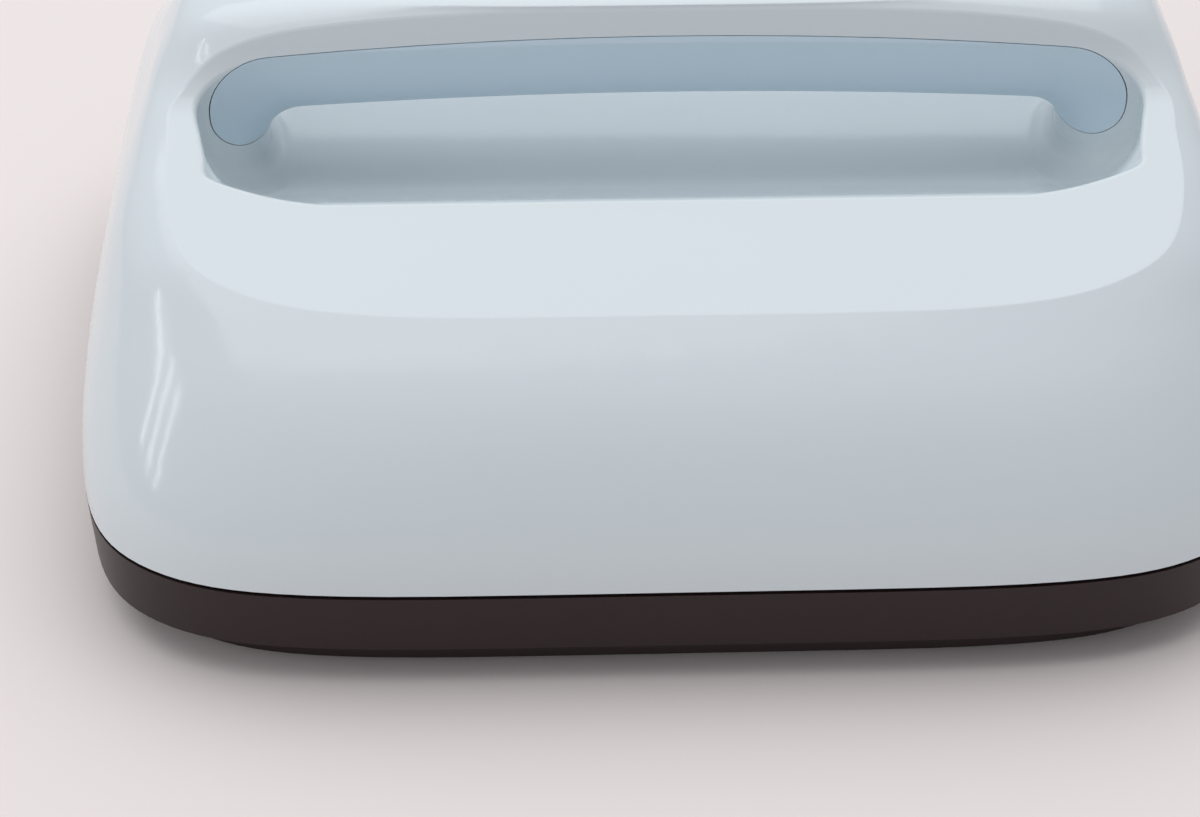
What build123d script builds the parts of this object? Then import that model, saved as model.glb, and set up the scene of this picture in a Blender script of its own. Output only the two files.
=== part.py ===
"""Handheld heat press. Millimetres, the hot plate rests on z = 0, the front faces -Y, the handle runs along X."""

import math
import os

from build123d import *

os.makedirs("parts", exist_ok=True)

# Overall sizes. The body outline is a rounded rectangle with bowed sides.
body_width = 344.0
body_depth = 293.0
body_height = 150.0
outline_power = 5.5
outline_samples = 48
half_width = body_width / 2
half_depth = body_depth / 2

# Shared clearances.
overrun = 1.0
fit_gap = 0.3
shadow_gap = 1.2
grip_seam = 0.3

# Upper shell: sections of the loaf as shares of its height, half width and half depth, with the outline's power.
shell_wall = 3.2
shell_roof = 4.6
section_shares = (
    (0.0, 1.0, 1.0, 5.5),
    (0.06, 1.0, 0.9965, 5.4),
    (0.13, 0.9965, 0.984, 5.25),
    (0.25, 0.985, 0.942, 4.9),
    (0.404, 0.9605, 0.853, 4.7),
    (0.498, 0.9425, 0.7585, 5.1),
    (0.574, 0.924, 0.6735, 5.6),
    (0.642, 0.904, 0.5865, 5.35),
    (0.702, 0.887, 0.48, 4.9),
    (0.753, 0.873, 0.387, 4.25),
    (0.804, 0.8585, 0.318, 3.7),
    (0.855, 0.841, 0.277, 3.5),
    (0.906, 0.8165, 0.24, 3.55),
    (0.953, 0.754, 0.204, 3.9),
    (0.9855, 0.599, 0.1868, 4.0),
    (1.0, 0.5, 0.1545, 4.0),
)
crease_radius = 1.5

# The plateau in front of and behind the handle climbs from its outer edge to the handle's upright face.
plateau_reach = 105.4
plateau_level = 95.4
plateau_slope_share = 0.38
handle_half_depth = 28.0
handle_lean_share = 0.0164
scoop_radius = 16.0

# Finger slot: shares of the handle's half depth, of the slot's half length, of the floor's rise to a full lip,
# of the rise from the bar's underside to the top, and of each section's side height for its corners.
slot_half_length = 140.5
slot_floor = 83.0
slot_rise = 14.0
bar_floor = 109.2
bar_bow = 4.0
slot_shares = (
    (2.857, 0.97, 2.6, 1.735, 0.74, 0.22),
    (2.464, 0.963, 1.914, 1.54, 0.7, 0.26),
    (1.929, 0.959, 1.136, 1.27, 0.47, 0.45),
    (1.429, 0.957, 0.593, 1.02, 0.41, 0.5),
    (1.0, 0.955, 0.271, 0.6845, 0.398, 0.53),
    (0.786, 0.904, 0.143, 0.3204, 0.405, 0.5135),
    (0.429, 0.854, 0.036, 0.0655, 0.357, 0.571),
    (0.0, 0.84, 0.0, 0.0, 0.349, 0.543),
)

# Seam between the shell and the handle grip, drawn in the XZ plane.
grip_half_length = 132.5
grip_half_depth = 38.0
grip_floor = 99.0
grip_shoulder = 131.8
grip_crown = 138.8
grip_top_radius = 19.0
grip_bottom_radius = 14.0

# Base skirt, plate surround and hot plate, from the bottom up.
plate_width = 305.0
plate_depth = 254.0
plate_thickness = 9.0
plate_edge_radius = 1.5
surround_floor = 1.2
surround_wall = 7.6
plate_gap = 0.9
skirt_floor = 12.8
skirt_taper = 1.0
skirt_wall = 4.2
flange_thickness = 2.6
ledge_level = 15.6
ledge_width = 6.8
deck_floor = 21.4
deck_thickness = 4.0
skirt_rim = 31.4
deck_top = deck_floor + deck_thickness
shell_floor = skirt_rim + shadow_gap
gasket_inset = 1.3
gasket_width = 1.8
plate_half_width = plate_width / 2
plate_half_depth = plate_depth / 2
surround_inner = (plate_half_width + plate_gap, plate_half_depth + plate_gap)
surround_outer = (surround_inner[0] + surround_wall, surround_inner[1] + surround_wall)

# Heating element: a bent tube half sunk in the plate. The route is in shares of the plate's half sizes.
element_diameter = 6.5
element_bend = 25.0
element_radius = element_diameter / 2
terminal_spacing = 28.0
terminal_block_size = (14.0, 12.0, 7.0)
terminal_pin_diameter = 4.0
terminal_pin_top = 34.0
element_route_shares = (
    (-0.82, 0.787),
    (-0.82, -0.787),
    (-0.275, -0.787),
    (-0.275, 0.433),
    (0.275, 0.433),
    (0.275, -0.787),
    (0.82, -0.787),
    (0.82, 0.787),
)
strap_thickness = 1.0
strap_foot = 6.0
strap_width = 10.0
strap_shares = ((-0.82, 0.31), (-0.82, -0.31), (0.82, 0.31), (0.82, -0.31), (-0.275, -0.16), (0.275, -0.16))

# Plate stand-offs and their screws, placed in shares of the plate's half sizes.
standoff_diameter = 10.0
standoff_flange_diameter = 14.0
standoff_flange_thickness = 1.2
standoff_shares = ((-0.55, 0.55), (0.55, 0.55), (-0.55, -0.55), (0.55, -0.55), (0.0, -0.47), (0.0, 0.236))
plate_screw_diameter = 4.0
plate_screw_head_diameter = 7.2
plate_screw_head = 2.6
plate_screw_bite = 5.4

# Insulation and heat shield, both with a window over the sensors and a slot for the terminals.
insulation_margin = 4.5
insulation_thickness = 5.2
shield_margin = 2.5
shield_thickness = 0.8
shield_level = 19.2
sensor_centre = (16.0, -8.0)
sensor_window = (44.0, 62.0)
deck_window = (30.0, 50.0)
terminal_slot = (46.0, 18.0)

# Sensors on the plate.
thermistor_size = (14.0, 8.0, 5.0)
thermistor_offset = -16.0
cutout_diameter = 16.0
cutout_height = 7.0
cutout_flange = (26.0, 10.0, 1.0)
cutout_offset = 14.0
cutout_blade = (1.0, 5.0, 8.0)
cutout_blade_spacing = 14.0

# Shell posts and their screws, in shares of the body's half sizes.
post_diameter = 9.0
post_shares = ((-0.686, -0.49), (0.686, -0.49), (-0.686, 0.49), (0.686, 0.49), (0.0, -0.53), (0.0, 0.53))
shell_screw_diameter = 4.0
shell_screw_head_diameter = 7.4
shell_screw_head = 2.2
shell_screw_bite = 13.0

# Surround screws, spread round the flange by angle.
surround_screw_angles = (30, 72, 108, 150, 210, 252, 288, 330)
surround_screw_diameter = 2.6
surround_screw_head_diameter = 5.6
surround_screw_head = 1.8
surround_screw_bite = 4.4

# Power board on the deck and what stands on it.
power_board_size = (116.0, 80.0, 1.6)
power_board_centre = (-68.0, 0.0)
power_boss_diameter = 8.0
power_boss_height = 6.0
power_boss_inset = 5.0
board_screw_diameter = 2.6
board_screw_head_diameter = 5.6
board_screw_head = 2.0
board_screw_bite = 4.0
transformer_size = (40.0, 34.0, 28.0)
transformer_core = (24.0, 40.0, 20.0)
transformer_place = (-101.0, -16.0)
relay_size = (20.0, 16.0, 17.0)
relay_place = (-64.0, -22.0)
capacitor_diameter = 16.0
capacitor_height = 24.0
capacitor_place = (-62.0, 6.0)
fuse_base = (28.0, 8.0, 3.0)
fuse_diameter = 5.2
fuse_length = 20.0
fuse_place = (-101.0, 18.0)
heatsink_size = (24.0, 12.0, 26.0)
heatsink_base = 4.0
heatsink_fins = 5
heatsink_place = (-34.0, -28.0)
connector_size = (46.0, 12.0, 15.0)
connector_place = (-70.0, 31.0)
connector_poles = 4
connector_mouth = (7.0, 6.0, 5.0)
power_plug_size = (16.0, 8.0, 9.0)
power_plug_place = (-22.0, 12.0)
sensor_plug_size = (12.0, 8.0, 9.0)
sensor_plug_place = (-18.0, -6.0)
power_board_level = deck_top + power_boss_height
power_board_top = power_board_level + power_board_size[2]

# Control panel in the handle's flat top.
panel_size = (160.0, 37.0)
panel_corner = 17.0
panel_thickness = 2.0
panel_sink = 0.1
panel_fit = 0.2
panel_ledge = 3.3
lens_size = (51.4, 25.4, 1.2)
lens_corner = 3.0
lens_ledge = 3.0
lcd_size = (54.0, 28.0)
panel_top = body_height - panel_sink
panel_floor = panel_top - panel_thickness

# Buttons: small keys beside the display, power on the left and start on the right inside a light ring.
button_proud = 0.7
button_edge = 0.4
key_diameter = 10.0
key_row = 37.0
key_pitch = 16.4
power_key_diameter = 13.0
end_key_row = 60.5
start_key_diameter = 20.0
key_lip = 1.3
key_lip_thickness = 1.1
key_stem_diameter = 3.0
key_stem_entry = 0.6
ring_wall = 2.1
ring_gap = 0.4
ring_flange = 1.5
ring_flange_thickness = 0.8
lamp_size = (3.0, 2.0, 1.6)
lamp_count = 4
switch_size = (6.2, 6.2, 4.0)
switch_well = 2.4

# Control board, hung from bosses under the handle's roof.
control_board_size = (140.0, 44.0, 1.6)
control_board_level = 138.0
control_boss_diameter = 6.4
control_boss_place = (62.0, 18.8)
control_screw_diameter = 2.4
control_screw_head_diameter = 5.2
control_screw_head = 1.8
control_screw_bite = 4.6
buzzer_diameter = 12.0
buzzer_height = 7.0
buzzer_place = (-30.0, 8.0)
control_plug_size = (12.0, 12.0, 9.0)
control_plug_place = (60.0, 10.0)
control_board_top = control_board_level + control_board_size[2]

# Screws that clamp the grip to posts under the roof.
grip_post_diameter = 8.0
grip_post_place = 96.0
grip_post_floor = 115.0
grip_boss_diameter = 9.0
grip_screw_diameter = 3.0
grip_screw_head_diameter = 6.4
grip_screw_head = 2.2
grip_screw_bite = 8.0

# Cord gland in a spot-faced pad at the back. The cord itself isn't part of the model.
gland_level = 60.0
gland_seat = 142.0
gland_pad_diameter = 28.0
gland_pad_length = 20.0
gland_collar_diameter = 23.0
gland_collar = 3.2
gland_body_diameter = 15.4
gland_bore = 7.5
gland_nut_flats = 22.0
gland_nut_thickness = 6.0

# Wires that the body holds.
harness_diameter = 4.8
lead_diameter = 3.0
harness_bend = 10.0
lead_bend = 6.0
harness_level = 60.0
column_place = 134.0
heater_lead_level = 42.0
heater_lead_turns = (70.0, 60.0)
heater_lead_starts = (-76.0, -64.0)
sensor_lead_level = 37.0
cutout_lead_levels = (44.0, 38.0)
cutout_lead_rows = (34.0, 28.0)


def bowed_outline(level, half_x, half_y, power=outline_power):
    """A bowed rounded rectangle at a height: a periodic spline through points of a superellipse."""
    points = []
    for step in range(outline_samples):
        angle = 2 * math.pi * step / outline_samples + math.pi / 2
        across, along = math.cos(angle), math.sin(angle)
        reach = (abs(across / half_x) ** power + abs(along / half_y) ** power) ** (-1 / power)
        points.append((reach * across, reach * along))
    with BuildSketch(Plane.XY.offset(level)) as sketch:
        with BuildLine():
            Spline(*points, periodic=True)
        make_face()
    return sketch.sketch


def body_outline(level, inset):
    """The body's outline at its widest, drawn in from the outside."""
    return bowed_outline(level, half_width - inset, half_depth - inset)


def loaf_sections(shares, floor, top, inset):
    """Outlines of the loaf from its floor to its top, drawn in by a wall."""
    return [
        bowed_outline(floor + rise * (top - floor), wide * half_width - inset, deep * half_depth - inset, power)
        for rise, wide, deep, power in shares
    ]


def plateau_height(reach):
    """The plateau's level at a distance from the middle of the body."""
    return plateau_level + plateau_slope_share * (plateau_reach - reach)


def scoop_profile(side, grow):
    """The air over the plateau and before the handle's face, in the YZ plane, grown into the body by a wall."""
    far = half_depth + overrun
    face = handle_half_depth - grow
    sink = grow * math.hypot(1, plateau_slope_share)
    corner = plateau_height(face) - sink
    top = body_height + overrun
    lean = handle_lean_share * (top - corner)
    with BuildSketch(Plane.YZ) as sketch:
        with BuildLine():
            Polyline(
                (side * far, plateau_height(far) - sink),
                (side * face, corner),
                (side * (face - lean), top),
                (side * far, top),
                close=True,
            )
        make_face()
        fillet(sketch.vertices().sort_by(Axis.Y)[1], scoop_radius + grow)
    return sketch.sketch


def slot_section(side, shares, grow):
    """One upright section of the finger slot, with large corners and a bowed top, grown by a wall."""
    reach, length, floor_rise, top_rise, low_corner, high_corner = shares
    half = length * slot_half_length
    low = slot_floor + floor_rise * slot_rise
    high = bar_floor + top_rise * (body_height - bar_floor)
    shoulder = high - bar_bow
    low_radius = low_corner * (shoulder - low) + grow
    high_radius = high_corner * (shoulder - low) + grow
    half, low, shoulder, high = half + grow, low - grow, shoulder + grow, high + grow
    with BuildSketch(Plane.XZ.offset(-side * reach * handle_half_depth)) as sketch:
        with BuildLine():
            Polyline((-half, shoulder), (-half, low), (half, low), (half, shoulder))
            ThreePointArc((-half, shoulder), (0, high), (half, shoulder))
        make_face()
        fillet(sketch.vertices().sort_by(Axis.Y)[:2], low_radius)
        fillet(sketch.vertices().sort_by(Axis.Y)[-2:], high_radius)
    return sketch.sketch


def slot_sections(grow):
    """The slot's sections from the front mouth to the back mouth."""
    front = [slot_section(-1, shares, grow) for shares in slot_shares]
    back = [slot_section(1, shares, grow) for shares in reversed(slot_shares[:-1])]
    return front + back


def grip_profile(gap):
    """The grip's outline in the XZ plane, with a bowed top, opened by a seam."""
    half = grip_half_length + gap
    shoulder = grip_shoulder + gap
    with BuildSketch(Plane.XZ) as sketch:
        with BuildLine():
            Polyline((-half, shoulder), (-half, grip_floor - gap), (half, grip_floor - gap), (half, shoulder))
            ThreePointArc((-half, shoulder), (0, grip_crown + gap), (half, shoulder))
        make_face()
        fillet(sketch.vertices().sort_by(Axis.Y)[:2], grip_bottom_radius + gap)
        fillet(sketch.vertices().sort_by(Axis.Y)[-2:], grip_top_radius + gap)
    return sketch.sketch


def discs(level, places, diameter):
    """Circles at a height."""
    with BuildSketch(Plane.XY.offset(level)) as sketch:
        with Locations(*places):
            Circle(diameter / 2)
    return sketch.sketch


def plates(level, places, width, depth):
    """Rectangles at a height."""
    with BuildSketch(Plane.XY.offset(level)) as sketch:
        with Locations(*places):
            Rectangle(width, depth)
    return sketch.sketch


def soft_plate(level, place, width, depth, corner):
    """A rectangle with round corners at a height."""
    with BuildSketch(Plane.XY.offset(level)) as sketch:
        with Locations(place):
            RectangleRounded(width, depth, corner)
    return sketch.sketch


def back_disc(place, level, diameter, distance):
    """A circle that faces +Y, a distance behind the middle."""
    with BuildSketch(Plane.XZ.offset(-distance)) as sketch:
        with Locations((place, level)):
            Circle(diameter / 2)
    return sketch.sketch


def shifted(places, middle):
    """Places moved to a new middle."""
    return [(middle[0] + x, middle[1] + y) for x, y in places]


def scaled(shares, half_x, half_y):
    """Places from shares of two half sizes."""
    return [(x * half_x, y * half_y) for x, y in shares]


def screws_up(places, seat, head_diameter, head, diameter, length):
    """Screws whose heads hang below a seat and whose shanks rise from it."""
    with BuildPart() as group:
        extrude(discs(seat - head, places, head_diameter), amount=head)
        extrude(discs(seat, places, diameter), amount=length)
    return group.part


def screws_down(places, seat, head_diameter, head, diameter, length):
    """Screws whose heads stand on a seat and whose shanks go down from it."""
    with BuildPart() as group:
        extrude(discs(seat, places, head_diameter), amount=head)
        extrude(discs(seat, places, diameter), amount=-length)
    return group.part


def wire(points, diameter, bend):
    """A round wire along straight runs joined by arcs."""
    with BuildPart() as tube:
        with BuildLine() as route:
            FilletPolyline(*points, radius=bend)
        with BuildSketch(Plane(route.line @ 0, z_dir=route.line % 0)):
            Circle(diameter / 2)
        sweep()
    return tube.part


def key(place, diameter, lip_top):
    """A push key: a cap above the panel, a lip that the panel keeps in and a stem down to its switch."""
    lip_floor = lip_top - key_lip_thickness
    tip = control_board_top + switch_size[2] - key_stem_entry
    cap_top = panel_top + button_proud
    with BuildPart() as button:
        extrude(discs(lip_floor, [place], diameter), amount=cap_top - lip_floor)
        rim = button.edges().filter_by(GeomType.CIRCLE).sort_by(Axis.Z)[-1]
        fillet(rim, button_edge)
        extrude(discs(lip_floor, [place], diameter + 2 * key_lip), amount=key_lip_thickness)
        extrude(discs(tip, [place], key_stem_diameter), amount=lip_floor - tip)
    return button.part


def save(part, name):
    """Write one labelled piece."""
    part.label = name
    export_step(part, f"parts/{name}.step")


# The outside of the body, with the plateaus, the handle's faces and the finger slot cut away.
with BuildPart() as outer_form:
    loft(loaf_sections(section_shares, shell_floor, body_height, 0))
    for side in (-1, 1):
        extrude(scoop_profile(side, 0), amount=half_width + overrun, both=True, mode=Mode.SUBTRACT)
    loft(slot_sections(0), mode=Mode.SUBTRACT)
    creases = outer_form.edges().filter_by(
        lambda edge: edge.length > half_width and edge.center().Z > slot_floor
    )
    fillet(creases, crease_radius)

# The room inside the walls, which runs from the base up the end columns into the handle.
with BuildPart() as inner_form:
    loft(loaf_sections(section_shares, shell_floor - overrun, body_height - shell_roof, shell_wall))
    for side in (-1, 1):
        extrude(
            scoop_profile(side, shell_wall), amount=half_width + overrun, both=True, mode=Mode.SUBTRACT
        )
    loft(slot_sections(shell_wall), mode=Mode.SUBTRACT)

# The walls all round, before the grip is parted from the shell.
with BuildPart() as walls:
    add(outer_form.part)
    add(inner_form.part, mode=Mode.SUBTRACT)

post_places = scaled(post_shares, half_width, half_depth)
grip_posts = [(-grip_post_place, 0), (grip_post_place, 0)]
bar_half_length = slot_half_length * slot_shares[-1][1]
post_underside = bar_floor - bar_bow * (grip_post_place / bar_half_length) ** 2
grip_seat = post_underside + grip_screw_head + fit_gap
control_bosses = [
    (x * control_boss_place[0], y * control_boss_place[1]) for x in (-1, 1) for y in (-1, 1)
]
gland_inner = gland_seat - gland_pad_length

# Posts that hang from the plateaus and take the shell screws.
with BuildPart() as shell_posts:
    for x, y in post_places:
        post_top = plateau_height(abs(y) + post_diameter / 2) - shell_wall / 4
        extrude(discs(deck_top, [(x, y)], post_diameter), amount=post_top - deck_top)

# Upper shell: the walls above the skirt, without the grip, with its posts, bosses, panel seat and gland pad.
with BuildPart() as upper_shell:
    add(walls.part)
    extrude(grip_profile(grip_seam), amount=grip_half_depth, both=True, mode=Mode.SUBTRACT)
    add(shell_posts.part)
    post_bore = shell_screw_diameter + 2 * fit_gap
    extrude(
        discs(deck_top - overrun, post_places, post_bore),
        amount=shell_screw_bite + 2 * overrun,
        mode=Mode.SUBTRACT,
    )
    roof_middle = body_height - shell_roof / 2
    roof_post_top = roof_middle - shell_roof / 4
    extrude(discs(grip_post_floor, grip_posts, grip_post_diameter), amount=roof_post_top - grip_post_floor)
    extrude(
        discs(grip_post_floor - overrun, grip_posts, grip_screw_diameter + 2 * fit_gap),
        amount=grip_screw_bite + overrun + fit_gap,
        mode=Mode.SUBTRACT,
    )
    extrude(
        discs(control_board_top, control_bosses, control_boss_diameter),
        amount=roof_post_top - control_board_top,
    )
    extrude(
        discs(control_board_top - overrun, control_bosses, control_screw_diameter + 2 * fit_gap),
        amount=control_screw_bite + overrun + fit_gap,
        mode=Mode.SUBTRACT,
    )
    extrude(
        soft_plate(panel_floor, (0, 0), panel_size[0], panel_size[1], panel_corner),
        amount=panel_thickness + overrun,
        mode=Mode.SUBTRACT,
    )
    window = (panel_size[0] - 2 * panel_ledge, panel_size[1] - 2 * panel_ledge)
    extrude(
        soft_plate(roof_middle, (0, 0), window[0], window[1], panel_corner - panel_ledge),
        amount=shell_roof,
        both=True,
        mode=Mode.SUBTRACT,
    )
    extrude(back_disc(0, gland_level, gland_pad_diameter, gland_inner), amount=-gland_pad_length)
    extrude(
        back_disc(0, gland_level, gland_collar_diameter + 2 * overrun, gland_seat),
        amount=-(half_depth - gland_seat + overrun),
        mode=Mode.SUBTRACT,
    )
    extrude(
        back_disc(0, gland_level, gland_body_diameter + 2 * fit_gap, gland_inner - overrun),
        amount=-(gland_pad_length + 2 * overrun),
        mode=Mode.SUBTRACT,
    )
save(upper_shell.part, "upper_shell")

# Handle grip: the walls inside the seam, with two bosses under the roof posts.
with BuildPart() as handle_grip:
    add(walls.part)
    extrude(grip_profile(0), amount=grip_half_depth, both=True, mode=Mode.INTERSECT)
    boss_floor = post_underside + shell_wall / 2
    extrude(discs(boss_floor, grip_posts, grip_boss_diameter), amount=grip_post_floor - boss_floor)
    extrude(
        discs(grip_seat, grip_posts, grip_screw_head_diameter + 2 * fit_gap),
        amount=-(grip_screw_head + bar_bow),
        mode=Mode.SUBTRACT,
    )
    extrude(
        discs(grip_seat - overrun, grip_posts, grip_screw_diameter + 2 * fit_gap),
        amount=grip_post_floor - grip_seat + 2 * overrun,
        mode=Mode.SUBTRACT,
    )
save(handle_grip.part, "handle_grip")

save(
    screws_up(
        grip_posts,
        grip_seat,
        grip_screw_head_diameter,
        grip_screw_head,
        grip_screw_diameter,
        grip_post_floor - grip_seat + grip_screw_bite,
    ),
    "grip_screws",
)

standoff_places = scaled(standoff_shares, plate_half_width, plate_half_depth)
sensor_places = [sensor_centre]
terminal_row = element_route_shares[0][1] * plate_half_depth
terminal_places = [(-terminal_spacing / 2, terminal_row), (terminal_spacing / 2, terminal_row)]
flange_middle = (
    (surround_outer[0] + half_width - skirt_wall) / 2,
    (surround_outer[1] + half_depth - skirt_wall) / 2,
)
surround_places = []
for angle in surround_screw_angles:
    across, along = math.cos(math.radians(angle)), math.sin(math.radians(angle))
    reach = (
        abs(across / flange_middle[0]) ** outline_power + abs(along / flange_middle[1]) ** outline_power
    ) ** (-1 / outline_power)
    surround_places.append((reach * across, reach * along))
power_corner = (power_board_size[0] / 2 - power_boss_inset, power_board_size[1] / 2 - power_boss_inset)
power_bosses = shifted(
    [(x * power_corner[0], y * power_corner[1]) for x in (-1, 1) for y in (-1, 1)], power_board_centre
)
board_bore = board_screw_diameter + 2 * fit_gap
surround_bore = surround_screw_diameter + 2 * fit_gap
plate_bore = plate_screw_diameter + 2 * fit_gap

# Base skirt: the dark band below the shell, with a deck across it and a ledge for the plate surround.
with BuildPart() as base_skirt:
    loft([body_outline(skirt_floor, skirt_taper), body_outline(skirt_rim, 0)])
    extrude(body_outline(deck_top, skirt_wall), amount=skirt_rim - deck_top + overrun, mode=Mode.SUBTRACT)
    extrude(
        body_outline(skirt_floor - overrun, skirt_wall),
        amount=ledge_level - skirt_floor + overrun,
        mode=Mode.SUBTRACT,
    )
    extrude(
        body_outline(skirt_floor - overrun, skirt_wall + ledge_width),
        amount=deck_floor - skirt_floor + overrun,
        mode=Mode.SUBTRACT,
    )
    extrude(discs(deck_top, power_bosses, power_boss_diameter), amount=power_boss_height)
    extrude(
        discs(power_board_level - board_screw_bite - fit_gap, power_bosses, board_bore),
        amount=board_screw_bite + fit_gap + overrun,
        mode=Mode.SUBTRACT,
    )
    extrude(
        discs(deck_floor - overrun, standoff_places, plate_bore),
        amount=deck_thickness + 2 * overrun,
        mode=Mode.SUBTRACT,
    )
    extrude(
        discs(deck_floor - overrun, post_places, post_bore),
        amount=deck_thickness + 2 * overrun,
        mode=Mode.SUBTRACT,
    )
    extrude(
        discs(deck_floor - overrun, post_places, shell_screw_head_diameter + 2 * fit_gap),
        amount=shell_screw_head + overrun + fit_gap,
        mode=Mode.SUBTRACT,
    )
    extrude(
        plates(deck_floor - overrun, sensor_places, deck_window[0], deck_window[1]),
        amount=deck_thickness + 2 * overrun,
        mode=Mode.SUBTRACT,
    )
    extrude(
        plates(deck_floor - overrun, [(0, terminal_row)], terminal_slot[0], terminal_slot[1]),
        amount=deck_thickness + 2 * overrun,
        mode=Mode.SUBTRACT,
    )
    extrude(
        discs(ledge_level - overrun, surround_places, surround_bore),
        amount=surround_screw_bite + overrun + fit_gap,
        mode=Mode.SUBTRACT,
    )
save(base_skirt.part, "base_skirt")

shell_seat = deck_floor + shell_screw_head + fit_gap
save(
    screws_up(
        post_places,
        shell_seat,
        shell_screw_head_diameter,
        shell_screw_head,
        shell_screw_diameter,
        deck_top - shell_seat + shell_screw_bite,
    ),
    "shell_screws",
)

# Gasket in the shadow gap between the skirt and the shell.
with BuildPart() as seam_gasket:
    extrude(body_outline(skirt_rim, gasket_inset), amount=shadow_gap)
    extrude(
        body_outline(skirt_rim - overrun, gasket_inset + gasket_width),
        amount=shadow_gap + 2 * overrun,
        mode=Mode.SUBTRACT,
    )
save(seam_gasket.part, "seam_gasket")

# Plate surround: a ring round the hot plate with a flange that seats under the skirt's ledge.
with BuildPart() as plate_surround:
    extrude(bowed_outline(surround_floor, *surround_outer), amount=ledge_level - surround_floor)
    flange_reach = skirt_wall + fit_gap
    extrude(body_outline(ledge_level - flange_thickness, flange_reach), amount=flange_thickness)
    extrude(
        bowed_outline(surround_floor - overrun, *surround_inner),
        amount=ledge_level - surround_floor + 2 * overrun,
        mode=Mode.SUBTRACT,
    )
    extrude(
        discs(ledge_level - flange_thickness - overrun, surround_places, surround_bore),
        amount=flange_thickness + 2 * overrun,
        mode=Mode.SUBTRACT,
    )
save(plate_surround.part, "plate_surround")

save(
    screws_up(
        surround_places,
        ledge_level - flange_thickness,
        surround_screw_head_diameter,
        surround_screw_head,
        surround_screw_diameter,
        flange_thickness + surround_screw_bite,
    ),
    "surround_screws",
)

element_corners = scaled(element_route_shares, plate_half_width, plate_half_depth)
element_route = [terminal_places[0], *element_corners, terminal_places[1]]
element_points = [(x, y, plate_thickness) for x, y in element_route]

# Hot plate, with a half-round groove for the element and blind holes for its screws.
with BuildPart() as heat_plate:
    extrude(bowed_outline(0, plate_half_width, plate_half_depth), amount=plate_thickness)
    fillet(heat_plate.edges().group_by(Axis.Z)[0], plate_edge_radius)
    add(wire(element_points, element_diameter + 2 * fit_gap, element_bend), mode=Mode.SUBTRACT)
    extrude(
        discs(plate_thickness - plate_screw_bite - fit_gap, standoff_places, plate_bore),
        amount=plate_screw_bite + fit_gap + overrun,
        mode=Mode.SUBTRACT,
    )
save(heat_plate.part, "heat_plate")

# Heating element, with a flat block and an upright pin at each end.
with BuildPart() as heating_element:
    add(wire(element_points, element_diameter, element_bend))
    extrude(
        plates(plate_thickness, terminal_places, terminal_block_size[0], terminal_block_size[1]),
        amount=terminal_block_size[2],
    )
    extrude(
        discs(plate_thickness, terminal_places, terminal_pin_diameter),
        amount=terminal_pin_top - plate_thickness,
    )
save(heating_element.part, "heating_element")

# Straps over the element, with their feet flat on the plate.
strap_inner = element_radius + fit_gap
strap_outer = strap_inner + strap_thickness
with BuildPart() as element_straps:
    for x, y in scaled(strap_shares, plate_half_width, plate_half_depth):
        with BuildSketch(Plane.XZ.offset(-y)):
            with Locations((x, plate_thickness)):
                Circle(strap_outer)
                Rectangle(
                    2 * (strap_outer + strap_foot), strap_thickness, align=(Align.CENTER, Align.MIN)
                )
                Circle(strap_inner, mode=Mode.SUBTRACT)
                Rectangle(
                    2 * (strap_outer + strap_foot + overrun),
                    strap_outer + overrun,
                    align=(Align.CENTER, Align.MAX),
                    mode=Mode.SUBTRACT,
                )
        extrude(amount=strap_width / 2, both=True)
save(element_straps.part, "element_straps")

# Stand-offs between the plate and the deck, with a flange that carries the heat shield.
flange_level = shield_level - standoff_flange_thickness
with BuildPart() as plate_standoffs:
    extrude(
        discs(plate_thickness, standoff_places, standoff_diameter), amount=deck_floor - plate_thickness
    )
    extrude(
        discs(flange_level, standoff_places, standoff_flange_diameter), amount=standoff_flange_thickness
    )
    extrude(
        discs(plate_thickness - overrun, standoff_places, plate_bore),
        amount=deck_floor - plate_thickness + 2 * overrun,
        mode=Mode.SUBTRACT,
    )
save(plate_standoffs.part, "plate_standoffs")

save(
    screws_down(
        standoff_places,
        deck_top,
        plate_screw_head_diameter,
        plate_screw_head,
        plate_screw_diameter,
        deck_top - plate_thickness + plate_screw_bite,
    ),
    "plate_screws",
)

# Insulation blanket under the heat shield.
with BuildPart() as insulation_blanket:
    extrude(
        bowed_outline(shield_level, plate_half_width - insulation_margin, plate_half_depth - insulation_margin),
        amount=-insulation_thickness,
    )
    extrude(
        discs(shield_level + overrun, standoff_places, standoff_flange_diameter + 2 * fit_gap),
        amount=-(insulation_thickness + 2 * overrun),
        mode=Mode.SUBTRACT,
    )
    extrude(
        plates(shield_level + overrun, sensor_places, sensor_window[0], sensor_window[1]),
        amount=-(insulation_thickness + 2 * overrun),
        mode=Mode.SUBTRACT,
    )
    extrude(
        plates(shield_level + overrun, [(0, terminal_row)], terminal_slot[0], terminal_slot[1]),
        amount=-(insulation_thickness + 2 * overrun),
        mode=Mode.SUBTRACT,
    )
save(insulation_blanket.part, "insulation_blanket")

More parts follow.
